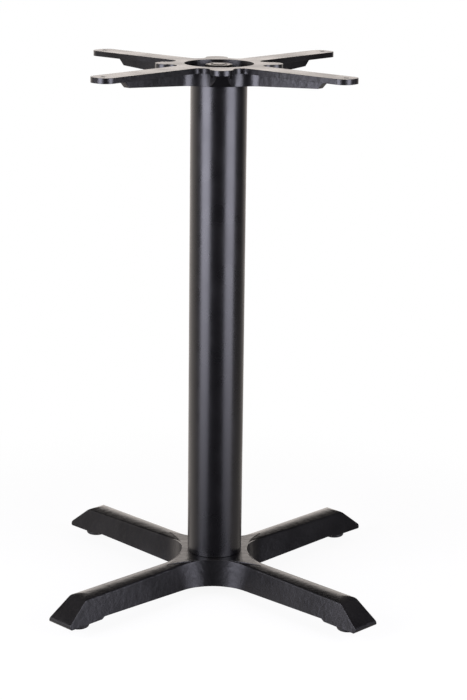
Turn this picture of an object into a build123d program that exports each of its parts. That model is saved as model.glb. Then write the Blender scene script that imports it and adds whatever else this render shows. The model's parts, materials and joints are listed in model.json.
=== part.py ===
from build123d import *
import os
from math import asin, cos, radians, sin, sqrt, tan

# Dining table base: a cast cross base, a round steel column and a cast cross top, drawn
# together by a tie rod. Millimetres, +Z up, the origin on the floor under the column.

# Overall heights above the floor
top_height = 730.0
pad_height = 44.5
hub_base_height = 7.0

# Column
column_diameter = 76.0
column_wall = 2.0
column_edge = 0.5
spigot_clearance = 0.2
spigot_height = 6.0

# Tie rod with its nuts and washers
rod_diameter = 20.0
rod_end_chamfer = 2.0
rod_stand_out = 0.5
rod_clearance = 0.5
nut_across_flats = 32.0
nut_height = 16.0
nut_corner_drop = 1.0
nut_bevel = 30.0
nut_sink_diameter = 24.0
thread_clearance = 0.1
washer_diameter = 37.0
washer_thickness = 4.0

# Levelling glides
glide_diameter = 29.0
glide_height = 8.7
glide_edge_radius = 3.0
glide_gap = 0.3
glide_inset = 32.4
stud_diameter = 8.0
stud_length = 28.0
stud_socket = 5.0
stud_clearance = 0.05
stud_end_chamfer = 1.0
stud_head_room = 2.0

# Legs of the cross base
leg_reach = 286.4
leg_root_width = 34.2
leg_flare = 1.08
leg_draft = 11.0
leg_dome_radius = 34.0
leg_shoulder_radius = 4.0
leg_arch_height = 4.75
leg_wall = 6.0
foot_length = 56.4
foot_step_run = 5.0
toe_lip = 5.9
toe_bevel = 38.5
toe_round = 26.0
lip_round = 5.0
lip_under_round = 3.0

# Hub of the cross base
hub_waist = 50.0
notch_draft = 6.0
pad_rim = 0.6
pad_rise = 0.4
pad_reach = 98.0
pad_tip_radius = 1.0
dome_start = 50.0
dome_full = 98.0
hub_plate = 8.5
boss_diameter = 56.0
boss_depth = 6.0

# Cross top
spider_turn = 3.16
arm_width = 35.0
arm_thickness = 7.2
arm_hole_radius = 216.0
arm_hole_diameter = 6.8
arm_tip = 13.0
arm_corner_radius = 14.0
rib_root_width = 19.0
rib_end_width = 9.5
rib_depth = 16.8
rib_end_depth = 10.1
rib_end_gap = 32.0
rib_end_slant = 10.0
lug_width = 30.0
lug_reach = 85.0
gusset_width = 15.0
gusset_reach = 80.0
gusset_flare = 24.0
hub_reach = 60.0
recess_diameter = 93.0
recess_depth = 13.0
recess_draft = 1.0
seat_diameter = 68.0
seat_rise = 3.0
floor_thickness = 9.0
plan_fillet = 12.0
web_fillet = 25.0

# What follows from the sizes above
limb_count = 4
half_sector = 180.0 / limb_count
leg_angles = [half_sector * (2 * limb + 1) for limb in range(limb_count)]
foot_names = ["back_right", "back_left", "front_left", "front_right"]
margin = 5.0
boolean_bite = 0.03
column_radius = column_diameter / 2
spigot_radius = column_radius - column_wall - spigot_clearance
foot_base_height = glide_height + glide_gap
glide_radius = leg_reach - glide_inset
crown_height = pad_height - pad_rise
cavity_height = pad_height - hub_plate
boss_base_height = cavity_height - boss_depth
foot_step = leg_reach - foot_length
long_reach = leg_reach + margin
arm_base_height = top_height - arm_thickness
hub_bottom_height = arm_base_height - rib_depth
recess_radius = recess_diameter / 2
seat_radius = seat_diameter / 2
seat_height = hub_bottom_height + seat_rise
rib_end = arm_hole_radius - rib_end_gap
# Blank length of the gussets, long enough for their fillets and then trimmed to gusset_reach
web_reach = rib_root_width + gusset_width + web_fillet / tan(radians(half_sector / 2))
rod_hole_radius = rod_diameter / 2 + rod_clearance
stud_base_height = glide_height - stud_socket
stud_top_height = stud_base_height + stud_length
spider_plane = Plane.XY.rotated((0, 0, spider_turn))
top_nut_height = seat_height + washer_thickness
bottom_nut_height = boss_base_height - washer_thickness - nut_height
rod_base_height = bottom_nut_height - rod_stand_out
rod_top_height = top_nut_height + nut_height + rod_stand_out
tan_draft = tan(radians(leg_draft))
tan_flare = tan(radians(leg_flare))
tan_notch = tan(radians(notch_draft))
pad_waist = hub_waist - (pad_height - hub_base_height) * tan_notch
os.makedirs("parts", exist_ok=True)


def lengthwise(angle):
    """Upright plane along a limb: first axis outwards, second axis up."""
    out = radians(angle)
    return Plane((0, 0, 0), x_dir=(cos(out), sin(out), 0), z_dir=(sin(out), -cos(out), 0))


def crosswise(angle, distance):
    """Upright plane square to a limb at a distance from the column: first axis sideways, second up."""
    out = radians(angle)
    return Plane(
        (distance * cos(out), distance * sin(out), 0),
        x_dir=(-sin(out), cos(out), 0),
        z_dir=(cos(out), sin(out), 0),
    )


def cross_plan(height, inset, reach):
    """Plan of the four flared legs at one height. The round notches between them stand hub_waist
    from the axis at the base and lean in from there, so their radius follows from both drafts."""
    rise = height - hub_base_height
    root = leg_root_width / 2 - rise * tan_draft - inset
    waist = hub_waist - rise * tan_notch - inset
    tip = root + reach * tan_flare
    corner = sqrt(2) * root / (1 - tan_flare)
    notch_radius = (waist - corner) / (1 / sin(radians(half_sector - leg_flare)) - 1)
    with BuildSketch(Plane.XY.offset(height)) as plan:
        with PolarLocations(0, limb_count, leg_angles[0]):
            Polygon((0, -root), (reach, -tip), (reach, tip), (0, root))
        fillet(plan.vertices().sort_by_distance((0, 0, 0))[:limb_count], notch_radius)
    return plan.sketch


def dome_corners(distance):
    """Half-widths and heights where the dome of a leg turns into its shoulder, and where the
    shoulder runs out through the drafted side wall."""
    dome_centre = crown_height - leg_dome_radius
    wall = leg_root_width / 2 + distance * tan_flare + (hub_base_height - dome_centre) * tan_draft
    offset = wall * cos(radians(leg_draft)) - leg_shoulder_radius + boolean_bite
    inner_radius = leg_dome_radius - leg_shoulder_radius
    turn = asin(offset / inner_radius) - radians(leg_draft)
    dome_end = (leg_dome_radius * sin(turn), dome_centre + leg_dome_radius * cos(turn))
    shoulder_end = (
        inner_radius * sin(turn) + leg_shoulder_radius * cos(radians(leg_draft)),
        dome_centre + inner_radius * cos(turn) + leg_shoulder_radius * sin(radians(leg_draft)),
    )
    return dome_end, shoulder_end


def dome_section(angle, distance):
    """What is cut away above a leg, square to it: over its domed top and round its shoulders."""
    (dome_x, dome_y), (end_x, end_y) = dome_corners(distance)
    with BuildSketch(crosswise(angle, distance)) as section:
        with BuildLine():
            dome = ThreePointArc((-dome_x, dome_y), (0, crown_height), (dome_x, dome_y))
            right = TangentArc(dome @ 1, (end_x, end_y), tangent=dome % 1)
            left = TangentArc(dome @ 0, (-end_x, end_y), tangent=(dome % 0) * -1)
            Polyline(
                right @ 1,
                (hub_waist, end_y),
                (hub_waist, pad_height + margin),
                (-hub_waist, pad_height + margin),
                (-hub_waist, end_y),
                left @ 1,
            )
        make_face()
    return section.sketch


def level_section(angle, distance):
    """The same cut at the hub, where the dome still lies level with the crown."""
    (dome_x, _), (end_x, _) = dome_corners(distance)
    with BuildSketch(crosswise(angle, distance)) as section:
        Polygon(
            (-end_x, crown_height),
            (-dome_x, crown_height),
            (dome_x, crown_height),
            (end_x, crown_height),
            (hub_waist, crown_height),
            (hub_waist, pad_height + margin),
            (-hub_waist, pad_height + margin),
            (-hub_waist, crown_height),
        )
    return section.sketch


def on_circle(radius, angle):
    """Point of a plan at a distance from the column axis, in a direction."""
    return (radius * cos(radians(angle)), radius * sin(radians(angle)))


# Cross base: one casting, hollow from below
with BuildPart() as cross_base:
    loft([cross_plan(hub_base_height, 0, long_reach), cross_plan(pad_height, 0, long_reach)], ruled=True)
    # Domed tops of the legs, growing out of the level hub
    for leg_angle in leg_angles:
        full_dome = dome_section(leg_angle, dome_full)
        loft([level_section(leg_angle, dome_start), full_dome], ruled=True, mode=Mode.SUBTRACT)
        end_dome = dome_section(leg_angle, long_reach + margin)
        loft([full_dome, end_dome], ruled=True, mode=Mode.SUBTRACT)
    # Flat pad under the column, a star of four hollow arcs with a point on each leg
    with BuildSketch(Plane.XY.offset(cavity_height)) as pad_plan:
        with BuildLine():
            for leg_angle in leg_angles:
                ThreePointArc(
                    on_circle(pad_reach, leg_angle),
                    on_circle(pad_waist - pad_rim, leg_angle + half_sector),
                    on_circle(pad_reach, leg_angle + 2 * half_sector),
                )
        make_face()
        fillet(pad_plan.vertices(), pad_tip_radius)
    extrude(amount=hub_plate)
    # Ends of the legs: a bevelled toe with a rounded lip, a foot, and an arched underside
    lip_height = foot_base_height + toe_lip
    bevel_start = leg_reach - (crown_height + boolean_bite - lip_height) / tan(radians(toe_bevel))
    for leg_angle in leg_angles:
        with BuildSketch(lengthwise(leg_angle)) as end_cut:
            Polygon(
                (bevel_start - toe_round, crown_height + boolean_bite),
                (bevel_start, crown_height + boolean_bite),
                (leg_reach, lip_height),
                (leg_reach, foot_base_height),
                (foot_step, foot_base_height),
                (foot_step - foot_step_run, hub_base_height + leg_arch_height),
                (hub_waist, hub_base_height),
                (hub_waist, hub_base_height - margin),
                (long_reach + margin, hub_base_height - margin),
                (long_reach + margin, pad_height + margin),
                (bevel_start - toe_round, pad_height + margin),
            )
            fillet(end_cut.vertices().sort_by_distance((bevel_start, crown_height))[0], toe_round)
            fillet(end_cut.vertices().sort_by_distance((leg_reach, lip_height))[0], lip_round)
            fillet(end_cut.vertices().sort_by_distance((leg_reach, foot_base_height))[0], lip_under_round)
        extrude(amount=hub_waist, both=True, mode=Mode.SUBTRACT)
    # Hollow, from below
    cavity_reach = foot_step - foot_step_run - leg_wall
    cavity_mouth = cross_plan(hub_base_height - margin, leg_wall, cavity_reach)
    loft([cavity_mouth, cross_plan(cavity_height, leg_wall, cavity_reach)], ruled=True, mode=Mode.SUBTRACT)
    # Boss that the lower washer bears on, and spigot that centres the column
    with BuildSketch(Plane.XY.offset(boss_base_height)):
        Circle(boss_diameter / 2)
    extrude(amount=boss_depth)
    with BuildSketch(Plane.XY.offset(pad_height)):
        Circle(spigot_radius)
    extrude(amount=spigot_height)
    with Locations((0, 0, pad_height + spigot_height)):
        Hole(rod_hole_radius)
    # Holes of the levelling glides
    with BuildSketch(Plane.XY.offset(foot_base_height)):
        with PolarLocations(glide_radius, limb_count, leg_angles[0]):
            Circle(stud_diameter / 2 + stud_clearance)
    extrude(amount=stud_top_height + stud_head_room - foot_base_height, mode=Mode.SUBTRACT)
cross_base.part.label = "cross_base"

# Column
with BuildPart() as column_tube:
    with BuildSketch(Plane.XY.offset(pad_height)):
        Circle(column_radius)
        Circle(column_radius - column_wall, mode=Mode.SUBTRACT)
    extrude(amount=hub_bottom_height - pad_height)
    rims = column_tube.edges().filter_by(GeomType.CIRCLE).group_by(SortBy.RADIUS)[-1]
    chamfer(rims, column_edge)
column_tube.part.label = "column_tube"

# Cross top: one casting with ribbed arms, hub lugs on gussets and a recess for the nut
with BuildPart() as top_spider:
    # Star of ribs and gussets, joined by wide hollow fillets
    with BuildSketch(spider_plane.offset(hub_bottom_height)) as web_plan:
        with PolarLocations(0, limb_count, leg_angles[0]):
            Polygon(
                (0, -rib_root_width / 2),
                (rib_end, -rib_end_width / 2),
                (rib_end, rib_end_width / 2),
                (0, rib_root_width / 2),
            )
        with PolarLocations(0, limb_count):
            Rectangle(web_reach, gusset_width, align=(Align.MIN, Align.CENTER))
        fillet(web_plan.vertices().sort_by_distance((0, 0, 0))[: 2 * limb_count], web_fillet)
    extrude(amount=rib_depth)
    # Brackets that widen upwards from the gussets to the lugs
    with BuildSketch(spider_plane.offset(hub_bottom_height)):
        with PolarLocations(0, limb_count):
            Rectangle(hub_reach, gusset_width, align=(Align.MIN, Align.CENTER))
    extrude(amount=rib_depth, taper=-gusset_flare)
    for arm_angle in leg_angles:
        # The rib grows shallower outwards and ends in a slant
        with BuildSketch(lengthwise(arm_angle + spider_turn)):
            Polygon(
                (hub_reach, hub_bottom_height),
                (rib_end - rib_end_slant, arm_base_height - rib_end_depth),
                (rib_end, arm_base_height),
                (rib_end + margin, arm_base_height),
                (rib_end + margin, hub_bottom_height - margin),
                (hub_reach, hub_bottom_height - margin),
            )
        extrude(amount=arm_width / 2, both=True, mode=Mode.SUBTRACT)
        # The gusset rises straight from the hub to the end of the lug
        with BuildSketch(lengthwise(arm_angle - half_sector + spider_turn)):
            Polygon(
                (hub_reach, hub_bottom_height),
                (gusset_reach, arm_base_height),
                (web_reach + margin, arm_base_height),
                (web_reach + margin, hub_bottom_height - margin),
                (hub_reach, hub_bottom_height - margin),
            )
        extrude(amount=lug_width, both=True, mode=Mode.SUBTRACT)
    # Flat top: arms with round corners, and lugs between them
    with BuildSketch(spider_plane.offset(arm_base_height)) as top_plan:
        with PolarLocations(0, limb_count, leg_angles[0]):
            Rectangle(arm_hole_radius + arm_tip, arm_width, align=(Align.MIN, Align.CENTER))
        arm_corners = top_plan.vertices().sort_by_distance((0, 0, 0))[-2 * limb_count :]
        fillet(arm_corners, arm_corner_radius)
        with PolarLocations(0, limb_count):
            Rectangle(lug_reach - lug_width / 2, lug_width, align=(Align.MIN, Align.CENTER))
        with PolarLocations(lug_reach - lug_width / 2, limb_count):
            Circle(lug_width / 2)
        fillet(top_plan.vertices().sort_by_distance((0, 0, 0))[: 2 * limb_count], plan_fillet)
    extrude(amount=arm_thickness)
    # Recess for the nut, and the floor that fits the column's bore
    with BuildSketch(Plane.XZ):
        Polygon(
            (0, seat_height),
            (seat_radius, seat_height),
            (seat_radius, top_height - recess_depth),
            (recess_radius - recess_draft, top_height - recess_depth),
            (recess_radius, top_height),
            (0, top_height),
        )
    revolve(axis=Axis.Z, mode=Mode.SUBTRACT)
    with BuildSketch(Plane.XY.offset(hub_bottom_height - floor_thickness)):
        Circle(spigot_radius)
    extrude(amount=floor_thickness)
    with Locations((0, 0, seat_height)):
        Hole(rod_hole_radius)
    # Screw holes near the arm ends
    with Locations(spider_plane.offset(top_height)):
        with PolarLocations(arm_hole_radius, limb_count, leg_angles[0]):
            Hole(arm_hole_diameter / 2, depth=arm_thickness)
top_spider.part.label = "top_spider"

# Tie rod
with BuildPart() as tie_rod:
    with BuildSketch(Plane.XY.offset(rod_base_height)):
        Circle(rod_diameter / 2)
    extrude(amount=rod_top_height - rod_base_height)
    chamfer(tie_rod.edges().filter_by(GeomType.CIRCLE), rod_end_chamfer)
tie_rod.part.label = "tie_rod"

# Hex nuts: a prism cut to a turned outline with bevelled corners and a countersunk bore
bore_radius = rod_diameter / 2 + thread_clearance
sink_radius = nut_sink_diameter / 2
corner_radius = nut_across_flats / sqrt(3)
face_radius = corner_radius - nut_corner_drop / tan(radians(nut_bevel))
nuts = {"top_nut": top_nut_height, "bottom_nut": bottom_nut_height}
for nut_name, base_height in nuts.items():
    with BuildPart() as nut:
        with BuildSketch(Plane.XY.offset(base_height)):
            RegularPolygon(nut_across_flats / 2, side_count=6, major_radius=False)
        extrude(amount=nut_height)
        with BuildSketch(Plane.XZ):
            Polygon(
                (sink_radius, base_height),
                (face_radius, base_height),
                (corner_radius, base_height + nut_corner_drop),
                (corner_radius, base_height + nut_height - nut_corner_drop),
                (face_radius, base_height + nut_height),
                (sink_radius, base_height + nut_height),
                (bore_radius, base_height + nut_height - sink_radius + bore_radius),
                (bore_radius, base_height + sink_radius - bore_radius),
            )
        revolve(axis=Axis.Z, mode=Mode.INTERSECT)
    nut.part.label = nut_name
    export_step(nut.part, f"parts/{nut_name}.step")

# Washers
washers = {"top_washer": seat_height, "bottom_washer": boss_base_height - washer_thickness}
for washer_name, base_height in washers.items():
    with BuildPart() as washer:
        with BuildSketch(Plane.XY.offset(base_height)):
            Circle(washer_diameter / 2)
            Circle(rod_hole_radius, mode=Mode.SUBTRACT)
        extrude(amount=washer_thickness)
    washer.part.label = washer_name
    export_step(washer.part, f"parts/{washer_name}.step")

# Levelling glides: a steel stud in the foot and a moulded pad on its end
for foot_name, leg_angle in zip(foot_names, leg_angles):
    foot_x, foot_y = on_circle(glide_radius, leg_angle)
    with BuildPart() as glide_stud:
        with BuildSketch(Plane((foot_x, foot_y, stud_base_height))):
            Circle(stud_diameter / 2)
        extrude(amount=stud_length)
        chamfer(glide_stud.faces().sort_by(Axis.Z)[-1].edges(), stud_end_chamfer)
    glide_stud.part.label = f"glide_stud_{foot_name}"
    export_step(glide_stud.part, f"parts/glide_stud_{foot_name}.step")
    with BuildPart() as glide_pad:
        with BuildSketch(Plane((foot_x, foot_y, 0))):
            Circle(glide_diameter / 2)
        extrude(amount=glide_height)
        fillet(glide_pad.faces().sort_by(Axis.Z)[0].edges(), glide_edge_radius)
        with BuildSketch(Plane((foot_x, foot_y, stud_base_height))):
            Circle(stud_diameter / 2 + stud_clearance)
        extrude(amount=stud_socket, mode=Mode.SUBTRACT)
    glide_pad.part.label = f"glide_pad_{foot_name}"
    export_step(glide_pad.part, f"parts/glide_pad_{foot_name}.step")

export_step(cross_base.part, "parts/cross_base.step")
export_step(column_tube.part, "parts/column_tube.step")
export_step(top_spider.part, "parts/top_spider.step")
export_step(tie_rod.part, "parts/tie_rod.step")
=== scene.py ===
# %% [markdown]
# # A pedestal table base: finishes, threads and studio
# The solids of this table base are finished parts already: a cross-shaped cast foot, a steel
# column, a ribbed cast cross that carries the table top, and the rod, nuts and glides that hold
# and level them. They are loaded as a fixed frame, in metres, with Z up and the floor at zero.
# This lesson gives them their real finishes, cuts the screw threads that the solids leave
# plain, and sets up the camera and a white studio.

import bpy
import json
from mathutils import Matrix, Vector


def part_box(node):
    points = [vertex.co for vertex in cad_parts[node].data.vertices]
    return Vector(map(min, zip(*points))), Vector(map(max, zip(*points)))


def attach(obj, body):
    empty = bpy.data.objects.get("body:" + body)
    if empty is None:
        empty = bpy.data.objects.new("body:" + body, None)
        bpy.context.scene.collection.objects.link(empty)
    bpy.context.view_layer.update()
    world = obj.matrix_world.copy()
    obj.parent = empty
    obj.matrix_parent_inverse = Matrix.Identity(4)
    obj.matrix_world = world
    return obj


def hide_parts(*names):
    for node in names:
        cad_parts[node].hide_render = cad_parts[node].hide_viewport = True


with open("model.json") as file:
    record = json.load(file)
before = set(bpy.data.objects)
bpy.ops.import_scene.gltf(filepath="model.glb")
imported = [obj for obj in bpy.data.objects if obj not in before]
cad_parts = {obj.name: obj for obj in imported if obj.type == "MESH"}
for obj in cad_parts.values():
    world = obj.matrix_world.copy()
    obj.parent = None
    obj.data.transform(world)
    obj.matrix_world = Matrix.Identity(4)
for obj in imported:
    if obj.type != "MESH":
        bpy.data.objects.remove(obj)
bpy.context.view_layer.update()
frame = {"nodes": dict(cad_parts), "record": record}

# %% [markdown]
# ## Camera
# The picture was taken with a long lens from a little above the top of the column, and the
# camera was rolled by less than a degree. The focal length in pixels and the camera's place
# come from fitting the column, the screw holes and the feet. Blender wants millimetres, so the
# focal length is scaled by the height of the sensor over the height of the picture.

# %% Camera
import math

import bpy
from mathutils import Matrix

scene = bpy.context.scene
image_height = 700
focal_pixels = 1948.2
sensor_height = 36.0
camera_place = (0.0132, -2.5986, 1.0299)
heading, tilt_down, roll = (math.radians(angle) for angle in (0.232, 14.951, 0.698))

camera_data = bpy.data.cameras.new("picture_camera")
camera_data.sensor_fit = "VERTICAL"
camera_data.sensor_height = sensor_height
camera_data.lens = sensor_height * focal_pixels / image_height
camera = bpy.data.objects.new("picture_camera", camera_data)
scene.collection.objects.link(camera)
camera.matrix_world = (
    Matrix.Translation(camera_place)
    @ Matrix.Rotation(-heading, 4, "Z")
    @ Matrix.Rotation(math.pi / 2 - tilt_down, 4, "X")
    @ Matrix.Rotation(roll, 4, "Z")
)
scene.camera = camera
print(f"lens of {camera_data.lens:.1f} mm at {camera_place}")

# %% [markdown]
# ## Helpers
# Colours are easiest to read as the hex values of a paint card. Blender works with linear
# light, so one function turns the one into the other. A second function adds a shader node,
# sets its values and links its inputs, which keeps every finish below down to a short list.
# The third starts an empty material.

# %% Colour and node helpers
import numpy as np


def linear(hex_colour):
    """RGBA in linear light. Each channel c becomes c / 12.92 below 0.04045, and above that
    ((c + 0.055) / 1.055) ** 2.4."""
    srgb = np.array([int(hex_colour[i : i + 2], 16) for i in (1, 3, 5)]) / 255
    channels = np.where(srgb < 0.04045, srgb / 12.92, ((srgb + 0.055) / 1.055) ** 2.4)
    return (*channels.tolist(), 1.0)


def add_node(tree, kind, values=None, links=None, **settings):
    """Adds one node. Settings are its properties, values its constant inputs and links its linked
    inputs."""
    node = tree.nodes.new(kind)
    for name, setting in settings.items():
        setattr(node, name, setting)
    for socket, value in (values or {}).items():
        node.inputs[socket].default_value = value
    for socket, output in (links or {}).items():
        tree.links.new(output, node.inputs[socket])
    return node


def new_material(name):
    """An empty node material and its output node."""
    material = bpy.data.materials.new(name)
    material.use_nodes = True
    material.node_tree.nodes.clear()
    return material, add_node(material.node_tree, "ShaderNodeOutputMaterial")


print("black card in linear light:", linear("#141416")[:3])

# %% [markdown]
# ## White studio
# A black satin object is seen mostly by what it reflects. The studio has a white backdrop
# behind and a little to the left, a pale ceiling over the camera, pale ground on both sides and
# a dim room everywhere else. They could be built from large cards, but a world shader is
# lighter and has no hard edges: it gets the direction of a ray and gives back a level. The
# part of that direction along the backdrop's own direction gives the backdrop's level, which
# fades where the ray climbs over the top or sinks below the stage. Each edge in the code is the
# stretch of such a part over which the level changes.

# %% Backdrop
scene.view_settings.view_transform = "Standard"
backdrop_direction = (-0.29, 0.955, 0.0)
room_level, backdrop_level = 0.015, 2.2
side_edge, top_edge, low_edge = (0.12, 0.95), (0.37, 0.54), (-0.25, 0.1)
share_over_top, share_below_stage = 0.02, 0.45

world = bpy.data.worlds.new("white_studio")
scene.world = world
world.use_nodes = True
sky = world.node_tree
sky.nodes.clear()
direction = add_node(sky, "ShaderNodeTexCoord").outputs["Generated"]
axes = add_node(sky, "ShaderNodeSeparateXYZ", links={0: direction})
along = add_node(
    sky, "ShaderNodeVectorMath", {1: backdrop_direction}, {0: direction}, operation="DOT_PRODUCT"
)
across_fade = add_node(
    sky, "ShaderNodeMapRange",
    {
        "From Min": side_edge[0], "From Max": side_edge[1],
        "To Min": room_level, "To Max": backdrop_level,
    },
    {"Value": along.outputs["Value"]},
)
upward_fade = add_node(
    sky, "ShaderNodeMapRange",
    {"From Min": top_edge[0], "From Max": top_edge[1], "To Min": 1.0, "To Max": share_over_top},
    {"Value": axes.outputs["Z"]},
)
downward_fade = add_node(
    sky, "ShaderNodeMapRange",
    {"From Min": low_edge[0], "From Max": low_edge[1], "To Min": share_below_stage, "To Max": 1.0},
    {"Value": axes.outputs["Z"]},
)
backdrop = add_node(
    sky, "ShaderNodeMath",
    links={0: across_fade.outputs["Result"], 1: upward_fade.outputs["Result"]}, operation="MULTIPLY",
)
print(f"backdrop {backdrop_level} towards {backdrop_direction}, dim room {room_level}")

# %% [markdown]
# The ceiling is found in the same way, along a direction up and over the camera. It shows on
# the flat tops when the base is seen from behind or from above. A ray that points down and to
# one side finds the ground, which lightens the foot of the column on both sides.

# %% Ceiling and ground
ceiling_direction, ceiling_edge, ceiling_level = (0.0, -0.55, 0.83), (0.6, 0.95), 0.8
beside_edge, below_edge, ground_level = (0.6, 0.9), (-0.18, -0.35), 0.45

overhead = add_node(
    sky, "ShaderNodeVectorMath", {1: ceiling_direction}, {0: direction}, operation="DOT_PRODUCT"
)
ceiling = add_node(
    sky, "ShaderNodeMapRange",
    {"From Min": ceiling_edge[0], "From Max": ceiling_edge[1], "To Min": 0.0, "To Max": ceiling_level},
    {"Value": overhead.outputs["Value"]},
)
off_middle = add_node(sky, "ShaderNodeMath", links={0: axes.outputs["X"]}, operation="ABSOLUTE")
beside = add_node(
    sky, "ShaderNodeMapRange",
    {"From Min": beside_edge[0], "From Max": beside_edge[1], "To Min": 0.0, "To Max": ground_level},
    {"Value": off_middle.outputs[0]},
)
below = add_node(
    sky, "ShaderNodeMapRange",
    {"From Min": below_edge[0], "From Max": below_edge[1], "To Min": 0.0, "To Max": 1.0},
    {"Value": axes.outputs["Z"]},
)
ground_and_ceiling = add_node(
    sky, "ShaderNodeMath",
    links={0: beside.outputs["Result"], 1: below.outputs["Result"], 2: ceiling.outputs["Result"]},
    operation="MULTIPLY_ADD",
)
studio = add_node(
    sky, "ShaderNodeMath",
    links={
        0: backdrop.outputs[0], 1: downward_fade.outputs["Result"], 2: ground_and_ceiling.outputs[0]
    },
    operation="MULTIPLY_ADD",
)
print(f"ceiling {ceiling_level}, ground {ground_level}")

# %% [markdown]
# Only reflections see this studio. Light that scatters gets one soft level from all round, and
# both are a slightly warm white. The camera sees plain white at a strength of 1, and so does a
# ray that has passed through something clear. The Light Path node tells these rays apart.

# %% World
ambient_level = 0.3

ray = add_node(sky, "ShaderNodeLightPath")
reflected_or_soft = add_node(
    sky, "ShaderNodeMix", {"A": ambient_level},
    {"Factor": ray.outputs["Is Glossy Ray"], "B": studio.outputs[0]},
)
seen_directly = add_node(
    sky, "ShaderNodeMath",
    links={0: ray.outputs["Is Camera Ray"], 1: ray.outputs["Is Transmission Ray"]},
    operation="MAXIMUM",
)
level = add_node(
    sky, "ShaderNodeMix", {"B": 1.0},
    {"Factor": seen_directly.outputs[0], "A": reflected_or_soft.outputs["Result"]},
)
card = add_node(
    sky, "ShaderNodeMix", {"A": linear("#FFF6F0"), "B": linear("#FFFFFF")},
    {"Factor": seen_directly.outputs[0]}, data_type="RGBA",
)
background = add_node(
    sky, "ShaderNodeBackground",
    links={"Color": card.outputs["Result"], "Strength": level.outputs["Result"]},
)
add_node(sky, "ShaderNodeOutputWorld", links={"Surface": background.outputs[0]})
print(f"soft light {ambient_level}, white for the camera")

# %% [markdown]
# The two soft boxes are like doors, a little over a metre from the column and about fifty
# degrees to each side of the camera. They draw the two long highlights on the column. The left
# one is the stronger, and both are slightly cool. The floor is a low stage, and the boxes reach
# below its edge, where they are dim: on the column the highlights fade from the top to the foot
# because each box fades from its upper part to its lower end. A lamp's own Parametric
# coordinate runs from 0 to 1 over the box, so it can drive that fade.

# %% Soft boxes
box_width, box_height, box_foot, box_distance = 0.93, 1.5, -0.45, 1.35
lower_end_level, full_level_share = 0.1, 0.63
soft_boxes = {"left_soft_box": (-50.2, 36), "right_soft_box": (51, 31)}
for name, (side_angle, watts) in soft_boxes.items():
    lamp = bpy.data.lights.new(name, "AREA")
    lamp.shape = "RECTANGLE"
    lamp.size, lamp.size_y = box_width, box_height
    lamp.energy = watts
    lamp.color = linear("#EEEDFF")[:3]
    lamp.use_nodes = True
    tree = lamp.node_tree
    tree.nodes.clear()
    place = add_node(tree, "ShaderNodeNewGeometry").outputs["Parametric"]
    over_box = add_node(tree, "ShaderNodeSeparateXYZ", links={0: place})
    fade = add_node(
        tree, "ShaderNodeMapRange",
        {"From Min": 0.0, "From Max": full_level_share, "To Min": lower_end_level, "To Max": 1.0},
        {"Value": over_box.outputs["Y"]}, interpolation_type="SMOOTHSTEP",
    )
    cloth = add_node(tree, "ShaderNodeEmission", links={"Strength": fade.outputs["Result"]})
    add_node(tree, "ShaderNodeOutputLight", links={"Surface": cloth.outputs[0]})
    holder = bpy.data.objects.new(name, lamp)
    scene.collection.objects.link(holder)
    holder.visible_camera = False
    holder.matrix_world = (
        Matrix.Rotation(math.radians(side_angle), 4, "Z")
        @ Matrix.Translation((0, -box_distance, box_foot + box_height / 2))
        @ Matrix.Rotation(math.pi / 2, 4, "X")
    )
    print(f"{name} at {[round(value, 2) for value in holder.matrix_world.translation]}")

# %% [markdown]
# The floor is a pale disc. It lies where the glides stand when they are screwed out all the
# way, so that none of them sinks into it. The disc is kept out of reflections and of the lamps'
# way, so that the lower part of the legs mirrors the soft boxes.

# %% Floor disc
floor_radius, floor_gap, rim_points = 0.8, 0.0003, 96
glide_travel = max(joint["range_m"][1] for joint in frame["record"]["behaviour"]["joints"])
floor_height = -glide_travel - floor_gap
angle = np.linspace(0, 2 * np.pi, rim_points, endpoint=False)
x, y = floor_radius * np.cos(angle), floor_radius * np.sin(angle)
rim = np.stack([x, y, np.full(rim_points, floor_height)], axis=1)
floor_mesh = bpy.data.meshes.new("studio_floor")
floor_mesh.from_pydata(rim.tolist(), [], [list(range(rim_points))])
floor = bpy.data.objects.new("studio_floor", floor_mesh)
scene.collection.objects.link(floor)
floor.visible_glossy = floor.visible_shadow = False
print(f"floor of {floor_radius} m radius at {floor_height:.4f} m")

# %% [markdown]
# To the camera the floor is mostly a plain white glow, with a share of real matt white that
# keeps the object's soft shadow. That share fades out towards the rim, so that the disc has no
# visible edge against the white behind it. Where the share is full, the glow is lowered by what
# the lit matt white gives back.

# %% Matt white floor
shadow_radius, shadow_share, lit_level = 0.4, 0.12, 0.75

matt_white, surface = new_material("matt_white_studio_floor")
tree = matt_white.node_tree
place = add_node(tree, "ShaderNodeTexCoord").outputs["Object"]
distance = add_node(tree, "ShaderNodeVectorMath", links={0: place}, operation="LENGTH")
share = add_node(
    tree, "ShaderNodeMapRange",
    {"From Min": shadow_radius, "From Max": floor_radius, "To Min": shadow_share, "To Max": 0.0},
    {"Value": distance.outputs["Value"]}, interpolation_type="SMOOTHSTEP",
)
glow = add_node(
    tree, "ShaderNodeMath", {1: -lit_level, 2: 1.0}, {0: share.outputs["Result"]},
    operation="MULTIPLY_ADD",
)
emission = add_node(
    tree, "ShaderNodeEmission", {"Color": linear("#FFFFFF")}, {"Strength": glow.outputs[0]}
)
matt = add_node(tree, "ShaderNodeBsdfDiffuse", links={"Color": share.outputs["Result"]})
both = add_node(tree, "ShaderNodeAddShader", links={0: emission.outputs[0], 1: matt.outputs[0]})
tree.links.new(both.outputs[0], surface.inputs["Surface"])
floor_mesh.materials.append(matt_white)
print(f"{matt_white.name}: shadow share {shadow_share} within {shadow_radius} m")

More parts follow.
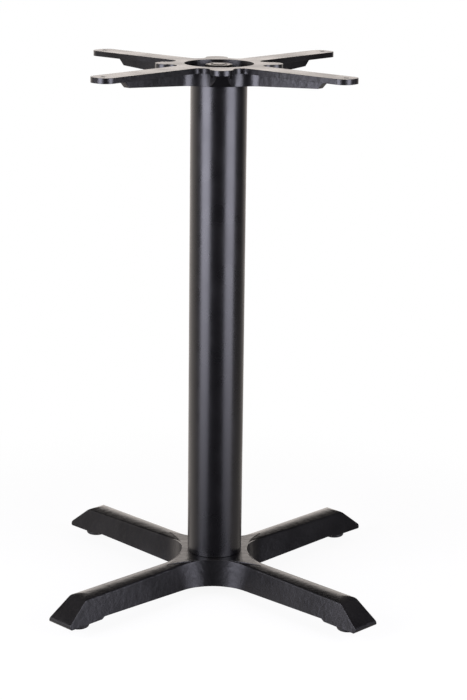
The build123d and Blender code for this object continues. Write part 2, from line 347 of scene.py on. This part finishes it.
# %% [markdown]
# ## Satin black powder coat
# Powder is sprayed on dry and baked, so it flows into a film with a soft satin gloss and a
# faint orange peel, a ripple of a few millimetres. On the sand castings the slow unevenness of
# the mould still shows through the film. On the drawn tube only the ripple is left. The same
# recipe serves both: two noises at their real wavelengths lift the surface, and a third, of a
# few centimetres, varies the gloss and the depth of the black a little. Edges are a little
# round under such a film, so a Bevel shader node softens the light on them by less than a
# millimetre, and the mesh stays as it is. Most values of a noise lie in the middle of its
# range, between 0.3 and 0.7, so that stretch is spread over the whole change of gloss.

# %% Powder coat
millimetre = 0.001
noise_low, noise_high = 0.3, 0.7
edge_radius, gloss_change = 0.8, 0.04


def powder_coat(name, roughness, peel_lift, mould_lift):
    """Black film whose height is a ripple of 3 mm plus mould waves of 9 mm. The lifts are the
    heights of the two in millimetres, and the roughness varies by the gloss change both ways."""
    material, surface = new_material(name)
    tree = material.node_tree
    place = add_node(tree, "ShaderNodeTexCoord").outputs["Object"]
    noises = {
        wave: add_node(
            tree, "ShaderNodeTexNoise",
            {"Scale": 1 / (size * millimetre), "Detail": detail}, {"Vector": place},
        ).outputs["Fac"]
        for wave, size, detail in (("peel", 3.0, 1.0), ("mould", 9.0, 2.0), ("cloud", 40.0, 3.0))
    }
    edge = add_node(tree, "ShaderNodeBevel", {"Radius": edge_radius * millimetre}, samples=6)
    mould = add_node(
        tree, "ShaderNodeBump", {"Distance": mould_lift * millimetre},
        {"Height": noises["mould"], "Normal": edge.outputs["Normal"]},
    )
    peel = add_node(
        tree, "ShaderNodeBump", {"Distance": peel_lift * millimetre},
        {"Height": noises["peel"], "Normal": mould.outputs["Normal"]},
    )
    gloss = add_node(
        tree, "ShaderNodeMapRange",
        {
            "From Min": noise_low, "From Max": noise_high,
            "To Min": roughness - gloss_change, "To Max": roughness + gloss_change,
        },
        {"Value": noises["cloud"]},
    )
    black = add_node(
        tree, "ShaderNodeMix", {"A": linear("#070708"), "B": linear("#0B0A0C")},
        {"Factor": noises["cloud"]}, data_type="RGBA",
    )
    film = add_node(
        tree, "ShaderNodeBsdfPrincipled", {"IOR": 1.55},
        {
            "Base Color": black.outputs["Result"], "Roughness": gloss.outputs["Result"],
            "Normal": peel.outputs["Normal"],
        },
    )
    tree.links.new(film.outputs[0], surface.inputs["Surface"])
    print(f"{name}: roughness {roughness}, ripple {peel_lift} mm, mould waves {mould_lift} mm")
    return material


coated_casting = powder_coat("satin_black_powder_coat_on_cast_iron", 0.33, 0.07, 0.40)
coated_tube = powder_coat("satin_black_powder_coat_on_steel_tube", 0.29, 0.015, 0.0)

# %% [markdown]
# ## Zinc plate
# Nuts, washers, rod and studs are turned steel with a bright zinc plate: a grey metal with a
# soft gleam and a faint cloudiness. One noise gives both, because a cloud in the plate is a
# place where it is a little lighter and duller. The grey here is darker than bright zinc: that
# is painted shade, for the nut that sits in the shade of the recess.

# %% Zinc plate
cloud_size, gleam_range = 5.0, (0.32, 0.46)

zinc_plate, surface = new_material("zinc_plate_with_painted_recess_shade")
tree = zinc_plate.node_tree
place = add_node(tree, "ShaderNodeTexCoord").outputs["Object"]
cloud = add_node(
    tree, "ShaderNodeTexNoise",
    {"Scale": 1 / (cloud_size * millimetre), "Detail": 4.0}, {"Vector": place},
)
gleam = add_node(
    tree, "ShaderNodeMapRange",
    {"From Min": noise_low, "From Max": noise_high, "To Min": gleam_range[0], "To Max": gleam_range[1]},
    {"Value": cloud.outputs["Fac"]},
)
# The grey is painted shade as well as zinc: it is set darker than bright zinc for the nut in the shaded
# recess.
zinc_grey_with_painted_shade = add_node(
    tree, "ShaderNodeMix", {"A": linear("#53514E"), "B": linear("#6B6965")},
    {"Factor": cloud.outputs["Fac"]}, data_type="RGBA",
)
plate = add_node(
    tree, "ShaderNodeBsdfPrincipled", {"Metallic": 1.0},
    {"Base Color": zinc_grey_with_painted_shade.outputs["Result"], "Roughness": gleam.outputs["Result"]},
)
tree.links.new(plate.outputs[0], surface.inputs["Surface"])
print(f"{zinc_plate.name}: clouds of {cloud_size} mm")

# %% [markdown]
# ## Moulded nylon
# The pads of the glides are moulded nylon, a matt black with the fine grain of a spark-cut
# mould. The grain is drawn at one millimetre, coarser than the real one, so that it can show
# at all. A bump is enough for it, because so fine a grain changes no outline.

# %% Moulded nylon
grain_size, grain_lift = 1.0, 0.04

moulded_nylon, surface = new_material("matt_black_moulded_nylon")
tree = moulded_nylon.node_tree
place = add_node(tree, "ShaderNodeTexCoord").outputs["Object"]
grain = add_node(
    tree, "ShaderNodeTexNoise",
    {"Scale": 1 / (grain_size * millimetre), "Detail": 1.0}, {"Vector": place},
)
lift = add_node(
    tree, "ShaderNodeBump", {"Distance": grain_lift * millimetre}, {"Height": grain.outputs["Fac"]}
)
black = add_node(
    tree, "ShaderNodeMix", {"A": linear("#131315"), "B": linear("#1C1C1E")},
    {"Factor": grain.outputs["Fac"]}, data_type="RGBA",
)
nylon = add_node(
    tree, "ShaderNodeBsdfPrincipled", {"IOR": 1.53, "Roughness": 0.55},
    {"Base Color": black.outputs["Result"], "Normal": lift.outputs["Normal"]},
)
tree.links.new(nylon.outputs[0], surface.inputs["Surface"])
print(f"{moulded_nylon.name}: grain of {grain_size} mm")

# %% [markdown]
# ## Screw threads
# The rod and the four studs are plain bars in the solids. On the real ones a groove climbs one
# pitch with every turn, and it shows where a foot is screwed out to level the table. A Screw
# modifier could turn a profile, but then the chamfered ends need cutting afterwards. Here the
# bar is one grid of height by angle, and its radius is worked out for all points at once: the
# groove, its soft run-out and the chamfer are all limits on that radius.

# %% Surface of a threaded bar
thread_depth, run_out, rows_per_pitch = 0.613, 2, 10


def thread_groove(turns):
    """Depth of a metric thread from 0 on the crest to 1 at the root: a triangle wave of the turns,
    stretched by 1.4 about its middle and clipped, so that crest and root come out flat."""
    wave = np.abs(2 * (turns % 1) - 1)
    return np.clip(1.4 * wave - 0.2, 0, 1)


def bar_surface(low, high, pitch, run, chamfers, columns):
    """Points by row and column. The radius at a height and an angle is the plain bar's radius less
    0.613 pitch times the groove at height / pitch - angle / full turn. The groove runs for a given
    length from both ends and fades out over two pitches. A cone at 45 degrees limits each end."""
    radius = (high[0] - low[0]) / 2
    near_ends = np.arange(0, min(run, (high[2] - low[2]) / 2), pitch / rows_per_pitch)
    rows = np.unique(np.concatenate([low[2] + near_ends, high[2] - near_ends]).round(7))
    angles = np.linspace(0, 2 * np.pi, columns, endpoint=False)
    z, angle = np.meshgrid(rows, angles, indexing="ij")
    fade = np.clip((run - np.minimum(z - low[2], high[2] - z)) / (run_out * pitch), 0, 1)
    grooved = radius - thread_depth * pitch * fade * thread_groove(z / pitch - angle / (2 * np.pi))
    cones = np.minimum(radius - chamfers[0] + z - low[2], radius - chamfers[1] + high[2] - z)
    bar_radius = np.minimum(grooved, cones)
    x, y = (low[:2] + high[:2]) / 2
    return np.stack([x + bar_radius * np.cos(angle), y + bar_radius * np.sin(angle), z], axis=2)


print("groove depths over one turn:", thread_groove(np.linspace(0, 1, 5)))

# %% [markdown]
# A grid needs faces to become a mesh. Each face joins four neighbours, and rolling the row of
# numbers by one closes the seam where the angle comes back to zero. A fan of triangles to one
# point closes each end. The new bar rides the plain bar's body and takes its place.

# %% Threaded bars
def closed_faces(row_count, columns):
    """Quads between neighbouring rows, then a fan from the first row to the point after the grid
    and a fan from the last row to the point after that."""
    number = np.arange(row_count * columns).reshape(row_count, columns)
    after = np.roll(number, -1, axis=1)
    sides = np.stack([number[:-1], after[:-1], after[1:], number[1:]], axis=2).reshape(-1, 4)
    low_pole, high_pole = np.full((2, columns), [[number.size], [number.size + 1]])
    low_cap = np.stack([low_pole, after[0], number[0]], axis=1)
    high_cap = np.stack([high_pole, number[-1], after[-1]], axis=1)
    return sides.tolist() + low_cap.tolist() + high_cap.tolist()


def threaded_bar(node, body, pitch, run, chamfers, columns):
    """Threaded bar in place of a plain node: the surface's grid of points, and a pole in the middle
    of each end."""
    low, high = (np.array(corner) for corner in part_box(node))
    grid = bar_surface(low, high, pitch, run, chamfers, columns)
    middle = (low + high) / 2
    poles = np.array([[middle[0], middle[1], low[2]], [middle[0], middle[1], high[2]]])
    points = np.concatenate([grid.reshape(-1, 3), poles])
    mesh = bpy.data.meshes.new(f"{node}_threaded")
    mesh.from_pydata(points.tolist(), [], closed_faces(*grid.shape[:2]))
    mesh.shade_smooth()
    mesh.set_sharp_from_angle(angle=math.radians(35))
    mesh.materials.append(zinc_plate)
    bar = bpy.data.objects.new(f"{node}_threaded", mesh)
    scene.collection.objects.link(bar)
    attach(bar, body)
    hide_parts(node)
    print(f"{bar.name}: {len(mesh.polygons)} faces, pitch {pitch / millimetre:.2f} mm")


rod_pitch, rod_run, rod_chamfer = 2.5 * millimetre, 45 * millimetre, 2 * millimetre
stud_pitch, stud_run, stud_chamfer = 1.25 * millimetre, 28 * millimetre, 1 * millimetre
rod_chamfers, stud_chamfers = (rod_chamfer, rod_chamfer), (0, stud_chamfer)
threaded_bar("tie_rod", "frame", rod_pitch, rod_run, rod_chamfers, columns=48)
for foot in ("back_right", "back_left", "front_left", "front_right"):
    threaded_bar(f"glide_stud_{foot}", f"glide_{foot}", stud_pitch, stud_run, stud_chamfers, columns=32)

# %% [markdown]
# ## Put it together
# The record names a finish for every piece. Each loaded solid has one material slot, so the
# finish goes into that slot and the solid itself stays as it is.

# %% Put the finishes on the pieces
finishes = {
    "coated_casting": coated_casting,
    "coated_tube": coated_tube,
    "bright_steel": zinc_plate,
    "glide_plastic": moulded_nylon,
}
for piece in frame["record"]["subparts"]:
    finish = finishes[piece["material_slot"]]
    frame["nodes"][piece["node"]].material_slots[0].material = finish
    print(f"{piece['node']}: {finish.name}")

# %% [markdown]
# The threads are cut into the bars and nothing is added outside, so the dressed part has the
# same box as the plain solids.

# %% Sizes
import json
